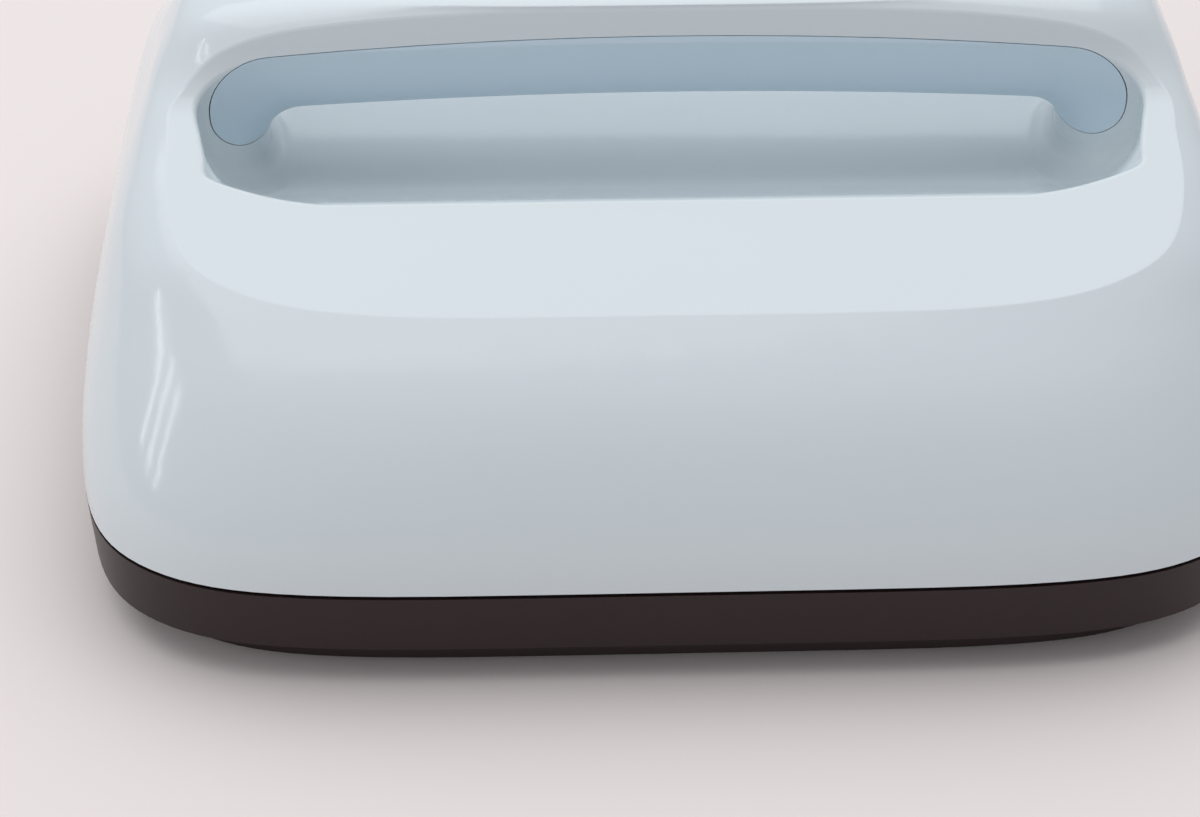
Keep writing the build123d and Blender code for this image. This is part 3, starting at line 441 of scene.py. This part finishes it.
# Screws that show: node, and the diameter and height of the head and the diameter of the shank.
SCREW_SORTS = (
    ("grip_screws", 6.4 * MM, 2.2 * MM, 3.0 * MM),
    ("surround_screws", 5.6 * MM, 1.8 * MM, 2.6 * MM),
)
# The point of a screw, as a share of its shank.
SCREW_POINT = 0.2
# A pan head's outline: shares of the head's radius and height, from the seat to the crown.
PAN_HEAD = ((1, 0.35), (0.97, 0.55), (0.86, 0.78), (0.66, 0.93), (0.4, 0.99), (0, 1))
# One arm pair of the cross recess: shares of the head's diameter and height, and how far it tapers.
RECESS_LENGTH = 0.56
RECESS_WIDTH = 0.13
RECESS_HEIGHT = 1.2
RECESS_TAPER = (0.45, 0.6, 1)

# The gland's collar is rounded over this share of its thickness.
COLLAR_ROUNDING = 0.55
# The gland's mouth from its rim inwards: steps in radius and depth.
MOUTH_RIM = (0.5 * MM, 0.5 * MM)
MOUTH_FLOOR = (1.4 * MM, 0.9 * MM)
MOUTH_BEAD = (0.6 * MM, 0.7 * MM)
MOUTH_DEPTH = 1.2 * MM
# Grip notches round the collar: two faces in every six are sunk.
NOTCH_PITCH = 6
NOTCH_FACES = 2
# A face belongs to the collar's side if it lies this near to it and its normal rises by less than this.
COLLAR_NEARNESS = 0.2 * MM
UPRIGHT = 0.3


class PRESS_OT_stage(bpy.types.Operator):
    """Make the camera, the pale floor and the soft lights"""

    bl_idname = "press.stage"
    bl_label = "Stage"

    def execute(self, context):
        stage = context.scene.press_stage
        colours = context.scene.press_colours
        context.scene.view_settings.view_transform = "Standard"
        bpy.ops.object.camera_add()
        camera = context.object
        camera.name = "press_camera"
        turn = Matrix.Rotation(-stage.camera_yaw, 4, "Z")
        turn = turn @ Matrix.Rotation(QUARTER_TURN - stage.camera_pitch, 4, "X")
        turn = turn @ Matrix.Rotation(stage.camera_roll, 4, "Z")
        camera.matrix_world = Matrix.Translation(stage.camera_place) @ turn
        camera.data.lens = stage.camera_lens
        camera.data.sensor_width = stage.camera_sensor
        camera.data.sensor_fit = "HORIZONTAL"
        context.scene.camera = camera

        bpy.ops.mesh.primitive_plane_add(size=stage.floor_size, location=(0, 0, -stage.floor_drop))
        floor = context.object
        floor.name = "floor"
        bpy.ops.object.transform_apply(location=True)
        # Matt paper roll: no gloss, so that it only takes shadows.
        floor.data.materials.append(surface("matt_paper_floor", colours.floor, 0.9, 0.8, 0.02, 0.01, 400))

        world = bpy.data.worlds.new("soft_room")
        context.scene.world = world
        world.use_nodes = True
        background = world.node_tree.nodes["Background"]
        background.inputs["Color"].default_value = (*stage.room_tint, 1)
        background.inputs["Strength"].default_value = stage.room_light
        for name, spot, aim, (width, height), power in LAMPS:
            bpy.ops.object.light_add(type="AREA", location=spot)
            lamp = context.object
            lamp.name = name
            lamp.data.shape = "RECTANGLE"
            lamp.data.size = width
            lamp.data.size_y = height
            lamp.data.energy = power
            lamp.rotation_euler = (Vector(aim) - Vector(spot)).to_track_quat("-Z", "Y").to_euler()
        return {"FINISHED"}


class PRESS_OT_shell(bpy.types.Operator):
    """Finish the shell and the grip"""

    bl_idname = "press.shell"
    bl_label = "Shell and grip"

    def execute(self, context):
        colours = context.scene.press_colours
        # Glossy ABS from a polished mould: deep soft reflections, hardly any grain.
        dress(surface("polished_abs_shell", colours.shell, 0.13, 1.6, 0.002, 0.02), "upper_shell")
        # The same ABS from a vapour-blasted mould: satin, so that the hand doesn't slip.
        dress(surface("satin_abs_grip", colours.grip, 0.34, 0.7, 0.01, 0.02), "handle_grip")
        return {"FINISHED"}


class PRESS_OT_base(bpy.types.Operator):
    """Finish the skirt, the surround, the gasket and the plate"""

    bl_idname = "press.base"
    bl_label = "Base"

    def execute(self, context):
        colours = context.scene.press_colours
        # Heat-stable nylon, spark-eroded mould: a dark satin with fine grain.
        skirt = surface("spark_grain_nylon_skirt", colours.skirt, 0.38, 0.5, 0.02, 0.1, Specular_IOR_Level=0.3)
        dress(skirt, "base_skirt")
        # Glass-filled PBT: a little greyer, with fibres that cloud the surface.
        surround = surface("glass_filled_pbt_surround", colours.surround, 0.45, 0.6, 0.03, 0.15, 8)
        dress(surround, "plate_surround")
        # Silicone cord in the shadow gap: matt black.
        dress(surface("silicone_gasket", srgb("#0c0b0b"), 0.7, 0.5, 0.02), "seam_gasket")
        # Aluminium under a sprayed non-stick coat: charcoal with a fine fleck.
        dress(surface("nonstick_coated_plate", colours.plate, 0.42, 0.8, 0.03, 0.35, 0.9), "heat_plate")
        return {"FINISHED"}


class PRESS_OT_panel(bpy.types.Operator):
    """Finish the control panel, its lens and the light ring"""

    bl_idname = "press.panel"
    bl_label = "Control panel"

    def execute(self, context):
        colours = context.scene.press_colours
        # Fine-textured ABS plate: blue black with a soft sheen that hides fingerprints.
        dress(surface("textured_abs_panel", colours.panel, 0.32, 0.35, 0.012, 0.08), "control_panel")
        # Smoked acrylic: clear enough for the lit bars, with a polished face.
        clear = {"Transmission_Weight": 1.0, "IOR": 1.49}
        dress(surface("smoked_acrylic_lens", srgb("#8f9aa1"), 0.05, 2.0, 0.0005, 0.03, **clear), "display_lens")
        # Opal polycarbonate over the ring lamps: milky, faintly lit from below.
        glow = {"Emission_Color": (*srgb("#d8f3ff"), 1), "Emission_Strength": 0.12}
        dress(surface("opal_polycarbonate_ring", srgb("#c8dde4"), 0.3, 0.6, 0.004, 0.03, **glow), "light_ring")
        return {"FINISHED"}


class PRESS_OT_display(bpy.types.Operator):
    """Model the lit bars of the display"""

    bl_idname = "press.display"
    bl_label = "Display"

    def execute(self, context):
        colours = context.scene.press_colours
        sizes = context.scene.press_sizes
        # Black epoxy face of an LED module: nearly no light comes back from between the bars.
        dress(surface("black_epoxy_display", srgb("#0b0d0f"), 0.5, 0.3, 0.01, 0.1), "display_module")
        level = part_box("display_module")[1][2]
        length = sizes.digit_height / 2
        radius = sizes.digit_bar / math.sqrt(3)
        bpy.ops.object.select_all(action="DESELECT")
        bpy.ops.mesh.primitive_circle_add(vertices=6, radius=radius, fill_type="NGON")
        bar = context.object
        tip = length / 2 - radius - sizes.digit_bar * BAR_CLEARANCE
        for side in (1, -1):
            for vertex in bar.data.vertices:
                vertex.select = vertex.co.y * side > 0
            for edge in bar.data.edges:
                edge.select = all(bar.data.vertices[i].select for i in edge.vertices)
            for face in bar.data.polygons:
                face.select = False
            bpy.ops.object.mode_set(mode="EDIT")
            bpy.ops.transform.translate(value=(0, side * tip, 0))
            bpy.ops.object.mode_set(mode="OBJECT")
        bpy.ops.object.mode_set(mode="EDIT")
        bpy.ops.mesh.select_all(action="SELECT")
        bpy.ops.mesh.extrude_region_move(TRANSFORM_OT_translate={"value": (0, 0, sizes.digit_thickness)})
        bpy.ops.mesh.select_all(action="SELECT")
        bpy.ops.mesh.normals_make_consistent(inside=False)
        bpy.ops.object.mode_set(mode="OBJECT")
        upright, flat = [], []
        for column, digit in SHOWN_DIGITS:
            for letter in LIT_BARS[digit]:
                across, up, lies = DIGIT_BARS[letter]
                x = column * sizes.digit_pitch + across * length / 2
                (flat if lies else upright).append((x, up * length / 2, level))
        only(bar)
        bpy.ops.object.duplicate()
        lying = context.object
        halves = [copies(bar, upright, (0, 0, 0)), copies(lying, flat, (0, 0, QUARTER_TURN))]
        for half in halves:
            half.select_set(True)
        bpy.ops.object.join()
        digits = context.object
        digits.name = "display_digits"
        # Lit LED bars under clear resin: an even ice blue.
        glow = {"Emission_Color": (*colours.digit, 1), "Emission_Strength": 1.4}
        lit = surface("lit_led_bars", colours.digit, 0.4, 0.4, 0.002, 0.05, **glow)
        settle(digits, "press_body", lit, "lamp_clear")
        return {"FINISHED"}


class PRESS_OT_keys(bpy.types.Operator):
    """Model the six keycaps and their marks"""

    bl_idname = "press.keys"
    bl_label = "Keys and marks"

    def execute(self, context):
        colours = context.scene.press_colours
        sizes = context.scene.press_sizes
        # Double-shot ABS: white, glossy, with the faint cloud of a thick moulding.
        white = surface("double_shot_abs_keys", colours.key, 0.22, 0.9, 0.003, 0.03)
        blue = surface("double_shot_abs_start_key", colours.start, 0.22, 0.9, 0.003, 0.03)
        # Pad-printed ink: slate, duller than the key under it.
        ink = surface("pad_printed_ink", colours.mark, 0.5, 0.3, 0.004, 0.06, 4)
        for name, lines in KEY_MARKS.items():
            node = f"button_{name}"
            body = f"{name}_key"
            is_start = name == "start"
            low, high = (Vector(corner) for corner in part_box(node))
            middle = (low + high) / 2
            radius = (high.x - low.x) / 2
            cap = radius - sizes.key_lip
            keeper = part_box("light_ring" if is_start else "control_panel")[0][2]
            lip_top = keeper - sizes.key_gap
            lip_low = lip_top - sizes.key_lip_thickness
            dish = sizes.start_dish if is_start else sizes.key_dish
            profile = [
                (sizes.key_stem, low.z),
                (sizes.key_stem, lip_low),
                (radius, lip_low),
                (radius, lip_top),
                (cap, lip_top),
            ]
            profile += quarter(cap, high.z, sizes.key_edge)
            rim = profile[-1][0]
            for step in range(1, DISH_STEPS + 1):
                slope = step / DISH_STEPS
                fall = dish * (1 - math.cos(HALF_TURN * slope)) / 2
                profile.append((rim * (1 - DISH_SLOPE * slope), high.z - fall))
            profile.append((0, high.z - dish))
            piece = turned(f"keycap_{name}", profile)
            apply_place(piece, (middle.x, middle.y, 0))
            settle(piece, body, blue if is_start else white, "start_key" if is_start else "key_white", node)
            mark = strokes(f"mark_{name}", lines, sizes.mark_stroke, high.z - dish, (middle.x, middle.y))
            settle(mark, body, ink, "panel_gloss")
        return {"FINISHED"}


def screw_places(node, apart):
    """Middle in plan of each screw in a CAD node that holds several."""
    groups = []
    for vertex in NODES[node].data.vertices:
        spot = vertex.co.xy
        for group in groups:
            if (group[0] - spot).length < apart:
                group.append(spot)
                break
        else:
            groups.append([spot])
    places = []
    for group in groups:
        xs, ys = [spot.x for spot in group], [spot.y for spot in group]
        places.append(((min(xs) + max(xs)) / 2, (min(ys) + max(ys)) / 2))
    return places


class PRESS_OT_screws(bpy.types.Operator):
    """Model the cross-headed screws under the grip and the surround"""

    bl_idname = "press.screws"
    bl_label = "Screws"

    def execute(self, context):
        # Bright zinc on steel: pale grey metal with a blotchy passivated bloom.
        zinc = surface("bright_zinc_screws", srgb("#b9bcbf"), 0.3, 0.4, 0.004, 0.2, 1.5, Metallic=1.0)
        for node, head, height, shank in SCREW_SORTS:
            low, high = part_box(node)
            seat = low[2] + height
            length = high[2] - seat
            half = head / 2
            profile = [(shank * SCREW_POINT, -length), (shank / 2, -length + shank), (shank / 2, 0), (half, 0)]
            profile += [(half * across, height * up) for across, up in PAN_HEAD]
            screw = turned(f"{node}_crossed", profile, SCREW_SIDES)
            for turn in (0, QUARTER_TURN):
                bpy.ops.object.select_all(action="DESELECT")
                bpy.ops.mesh.primitive_cube_add(size=1)
                blade = context.object
                blade.scale = (head * RECESS_LENGTH, head * RECESS_WIDTH, height * RECESS_HEIGHT)
                bpy.ops.object.transform_apply(scale=True)
                for face in blade.data.polygons:
                    face.select = face.normal.z < -0.5
                bpy.ops.object.mode_set(mode="EDIT")
                bpy.ops.mesh.select_mode(type="FACE")
                bpy.ops.transform.resize(value=RECESS_TAPER, center_override=(0, 0, 0))
                bpy.ops.object.mode_set(mode="OBJECT")
                apply_place(blade, (0, 0, height), (0, 0, turn))
                only(screw)
                bpy.ops.object.modifier_add(type="BOOLEAN")
                cut = screw.modifiers[-1]
                cut.operation = "DIFFERENCE"
                cut.object = blade
                bpy.ops.object.modifier_apply(modifier=cut.name)
                bpy.data.objects.remove(blade)
            places = [(x, y, seat) for x, y in screw_places(node, 2 * head)]
            group = copies(screw, places, (HALF_TURN, 0, 0))
            group.name = f"{node}_crossed"
            bpy.ops.object.shade_smooth_by_angle(angle=CRISP_ANGLE)
            settle(group, "press_body", zinc, "zinc_screws", node)
        dress(zinc, "plate_screws", "shell_screws", "power_board_screws", "control_board_screws")
        return {"FINISHED"}


class PRESS_OT_gland(bpy.types.Operator):
    """Model the cord gland at the back"""

    bl_idname = "press.gland"
    bl_label = "Cord gland"

    def execute(self, context):
        sizes = context.scene.press_sizes
        low, high = (Vector(corner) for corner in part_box("cord_gland"))
        collar = (high.x - low.x) / 2
        body, bore = sizes.gland_body, sizes.gland_bore
        back, seat = high.y, high.y - sizes.gland_collar
        profile = [(bore, low.y), (body, low.y), (body, seat), (collar, seat)]
        profile += quarter(collar, back, sizes.gland_collar * COLLAR_ROUNDING)
        profile += [(body, back), (body - MOUTH_RIM[0], back - MOUTH_RIM[1])]
        profile += [(bore + step, back - depth) for step, depth in (MOUTH_FLOOR, MOUTH_BEAD, (0, MOUTH_DEPTH))]
        profile.append((bore, low.y))
        gland = turned("cord_gland_notched", profile)
        for face in gland.data.polygons:
            on_side = abs(face.center.xy.length - collar) < COLLAR_NEARNESS and abs(face.normal.z) < UPRIGHT
            step = math.atan2(face.center.y, face.center.x) / (2 * HALF_TURN) * TURN_SIDES
            face.select = on_side and int(step + TURN_SIDES) % NOTCH_PITCH < NOTCH_FACES
        for edge in gland.data.edges:
            edge.select = False
        for vertex in gland.data.vertices:
            vertex.select = False
        bpy.ops.object.mode_set(mode="EDIT")
        bpy.ops.mesh.select_mode(type="FACE")
        bpy.ops.mesh.inset(thickness=sizes.gland_notch_edge, depth=-sizes.gland_notch)
        bpy.ops.object.mode_set(mode="OBJECT")
        apply_place(gland, (0, 0, (low.z + high.z) / 2), (-QUARTER_TURN, 0, 0))
        bpy.ops.object.shade_smooth_by_angle(angle=CRISP_ANGLE)
        # Glass-filled nylon: black, dry and slightly streaked.
        nylon = surface("glass_filled_nylon_gland", srgb("#262627"), 0.5, 0.4, 0.02, 0.2, 5)
        settle(gland, "press_body", nylon, "gland_black", "cord_gland")
        dress(nylon, "gland_nut")
        return {"FINISHED"}


class PRESS_OT_heater(bpy.types.Operator):
    """Finish the hot side inside the base"""

    bl_idname = "press.heater"
    bl_label = "Heater"

    def execute(self, context):
        # Stainless heater tube: rolled along its length and straw tinted by the first heat.
        tube = surface("heat_tinted_tube", srgb("#a89a84"), 0.34, 0.5, 0.01, 0.25, 14, Metallic=1.0)
        dress(tube, "heating_element")
        # Pressed spring steel: grey with a fine rolled line.
        rolled = (1, 9, 1)
        strap = surface("pressed_spring_steel", srgb("#a7a7a6"), 0.36, 0.4, 0.006, 0.1, 20, rolled, Metallic=1.0)
        dress(strap, "element_straps")
        # Turned free-cutting steel: fine rings round the axis.
        rings = (1, 1, 6)
        turned_steel = surface("turned_steel", srgb("#b0b0ae"), 0.3, 0.3, 0.006, 0.08, 10, rings, Metallic=1.0)
        dress(turned_steel, "plate_standoffs")
        # Needled ceramic wool: soft white fibres with no gloss.
        wool = surface("needled_ceramic_wool", srgb("#e8e4da"), 0.95, 1.2, 0.4, 0.12, 7, (1, 3, 1))
        dress(wool, "insulation_blanket")
        # Aluminised sheet: pale grains of spangle, three millimetres wide.
        spangle = {"kind": "Voronoi", "Metallic": 1.0}
        dress(surface("aluminised_sheet", srgb("#bfc0c0"), 0.3, 3.0, 0.004, 0.1, 6, **spangle), "heat_shield")
        # Drawn brass: warm yellow, lightly dulled.
        brass = surface("drawn_brass", srgb("#c0a05a"), 0.3, 0.4, 0.006, 0.15, 5, (1, 1, 5), Metallic=1.0)
        dress(brass, "thermistor")
        # Phenolic moulding: dark brown, dry, with a flecked filler.
        dress(surface("phenolic_cutout", srgb("#5a3a24"), 0.5, 0.5, 0.02, 0.25, 1.2), "thermal_cutout")
        return {"FINISHED"}


class PRESS_OT_electrics(bpy.types.Operator):
    """Finish the boards, their parts and the leads"""

    bl_idname = "press.electrics"
    bl_label = "Electrics"

    def execute(self, context):
        # Glass-epoxy laminate under green solder mask: the weave shows through as a fine ripple.
        laminate = surface("green_mask_laminate", srgb("#1d6b3a"), 0.35, 0.6, 0.01, 0.3, 4, kind="Wave")
        dress(laminate, "control_board", "power_board")
        # Black LCP of switches, and the buzzer's case: dull with fine grain.
        dress(surface("lcp_switch_black", srgb("#1a1a1b"), 0.5, 0.4, 0.01, 0.08), "tact_switches", "buzzer")
        # Clear epoxy of the ring lamps: water clear with a yellow phosphor.
        epoxy = surface("clear_epoxy_lamps", srgb("#f1efc4"), 0.15, 0.8, 0.002, 0.1, 1, Transmission_Weight=0.5)
        dress(epoxy, "ring_lamps")
        # Braided polyester sleeve: crossed threads half a millimetre wide.
        braid = surface("braided_polyester_sleeve", srgb("#242427"), 0.6, 0.5, 0.12, 0.3, 1, kind="Wave")
        dress(braid, "control_harness")
        # Natural nylon plugs: creamy and slightly see-through.
        plug = surface("natural_nylon_plugs", srgb("#e9e5d8"), 0.42, 0.5, 0.008, 0.05, Subsurface_Weight=0.1)
        dress(plug, "wire_plugs")
        # Yellow polyester tape on the windings: satin with lap lines.
        laps = (0.2, 0.2, 1)
        tape = surface("polyester_tape_wrap", srgb("#c9a53a"), 0.35, 3.0, 0.05, 0.12, 8, laps, "Wave")
        dress(tape, "transformer")
        # PBT relay case: deep blue, finely grained.
        dress(surface("pbt_relay_case", srgb("#1d3a75"), 0.4, 0.5, 0.012, 0.06), "relay")
        # PVC shrink sleeve: blue black with a slight orange peel.
        dress(surface("pvc_sleeve_capacitor", srgb("#1c1d33"), 0.25, 1.4, 0.02, 0.08), "capacitor")
        # Drawn glass of the fuse tube: clear, with hardly a ripple.
        fuse = surface("glass_fuse_tube", srgb("#dfe5e2"), 0.08, 1.0, 0.001, 0.04, Transmission_Weight=0.8)
        dress(fuse, "fuse")
        # Extruded aluminium: die lines along the fins.
        die_lines = (9, 1, 9)
        fins = surface("extruded_aluminium", srgb("#b4b6b8"), 0.38, 0.4, 0.01, 0.1, 12, die_lines, Metallic=1.0)
        dress(fins, "heatsink")
        # Polyamide terminal block: mid grey, dull.
        dress(surface("polyamide_block", srgb("#80868a"), 0.48, 0.5, 0.015, 0.06), "terminal_block")
        # Silicone insulation: matt, with the talc bloom of new wire.
        dress(surface("red_silicone_lead", srgb("#a3231c"), 0.6, 0.6, 0.01, 0.12, 6), "heater_leads")
        white_lead = surface("white_silicone_lead", srgb("#dcdad4"), 0.6, 0.6, 0.01, 0.08, 6)
        dress(white_lead, "sensor_lead", "cutout_leads")
        return {"FINISHED"}


STEPS = (
    PRESS_OT_stage,
    PRESS_OT_shell,
    PRESS_OT_base,
    PRESS_OT_panel,
    PRESS_OT_display,
    PRESS_OT_keys,
    PRESS_OT_screws,
    PRESS_OT_gland,
    PRESS_OT_heater,
    PRESS_OT_electrics,
)


class PRESS_PT_dressing(bpy.types.Panel):
    """Sidebar list of the dressing steps and their settings"""

    bl_idname = "PRESS_PT_dressing"
    bl_label = "Heat press"
    bl_space_type = "VIEW_3D"
    bl_region_type = "UI"
    bl_category = "Press"

    def draw(self, context):
        column = self.layout.column(align=True)
        for step in STEPS:
            column.operator(step.bl_idname)
        for settings in (context.scene.press_colours, context.scene.press_sizes, context.scene.press_stage):
            column = self.layout.column()
            for name in settings.__annotations__:
                column.prop(settings, name)


GROUPS = {"press_colours": PressColours, "press_sizes": PressSizes, "press_stage": PressStage}


def register():
    """Register the classes and hang their settings on the scene."""
    for kind in (*GROUPS.values(), *STEPS, PRESS_PT_dressing):
        bpy.utils.register_class(kind)
    for name, kind in GROUPS.items():
        setattr(bpy.types.Scene, name, bpy.props.PointerProperty(type=kind))


def unregister():
    """Take the settings and the classes away again."""
    for name in GROUPS:
        delattr(bpy.types.Scene, name)
    for kind in (PRESS_PT_dressing, *reversed(STEPS), *GROUPS.values()):
        bpy.utils.unregister_class(kind)


def main():
    """Dress the press piece by piece."""
    register()
    bpy.ops.object.select_all(action="DESELECT")
    bpy.ops.press.stage()
    bpy.ops.press.shell()
    bpy.ops.press.base()
    bpy.ops.press.panel()
    bpy.ops.press.display()
    bpy.ops.press.keys()
    bpy.ops.press.screws()
    bpy.ops.press.gland()
    bpy.ops.press.heater()
    bpy.ops.press.electrics()


if __name__ == "__main__":
    main()
